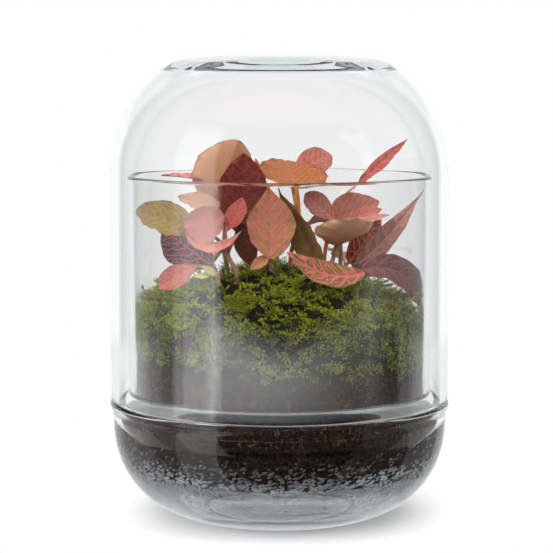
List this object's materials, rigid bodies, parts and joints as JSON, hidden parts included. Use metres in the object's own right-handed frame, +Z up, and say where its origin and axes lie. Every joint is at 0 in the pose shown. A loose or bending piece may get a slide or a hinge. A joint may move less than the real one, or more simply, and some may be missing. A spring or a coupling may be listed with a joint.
{
  "type": "glass plant terrarium",
  "caption": "Closed glass terrarium: a round-bottomed jar of soil, moss and a pink-leaved nerve plant under a tall glass cover that keeps the air inside moist.",
  "frame": {"origin": "middle of the vessel's foot, on the surface that it stands on", "axes": "+Z up through the crown of the cover, -Y towards the front of the plant, +X to the right seen from the front"},
  "size_m": [0.1808, 0.1808, 0.244],
  "materials": {
    "vessel_glass": "polished",
    "cover_glass": "polished",
    "potting_soil": "matte",
    "moss": "matte",
    "tan_leaf": "satin",
    "amber_leaf": "satin",
    "russet_leaf": "satin",
    "rear_olive_leaf": "satin",
    "rear_rose_leaf": "satin",
    "red_leaf": "satin",
    "yellow_green_leaf": "satin",
    "pale_pink_leaf": "satin",
    "pink_green_leaf": "satin",
    "rose_leaf": "satin",
    "dark_olive_leaf": "satin",
    "mauve_leaf": "satin",
    "tan_cup_leaf": "satin",
    "dark_mauve_leaf": "satin",
    "veined_olive_leaf": "satin"
  },
  "bodies": {
    "root": {"glass_vessel": "vessel_glass", "glass_cover": "cover_glass", "potting_soil": "potting_soil", "moss_cushion": "moss", "fittonia_stem_back_left": "tan_leaf", "fittonia_stem_back_centre": "amber_leaf", "fittonia_stem_rear": "russet_leaf", "fittonia_stem_rear_left": "rear_olive_leaf", "fittonia_stem_rear_right": "rear_rose_leaf", "fittonia_stem_upright_right": "red_leaf", "fittonia_stem_left": "yellow_green_leaf", "fittonia_stem_left_front": "pale_pink_leaf", "fittonia_stem_front_centre": "pink_green_leaf", "fittonia_stem_low_left": "rose_leaf", "fittonia_stem_right_olive": "dark_olive_leaf", "fittonia_stem_right_back": "mauve_leaf", "fittonia_stem_right_cup": "tan_cup_leaf", "fittonia_stem_far_right": "dark_mauve_leaf", "fittonia_stem_front_right": "veined_olive_leaf"}
  },
  "joints": []
}
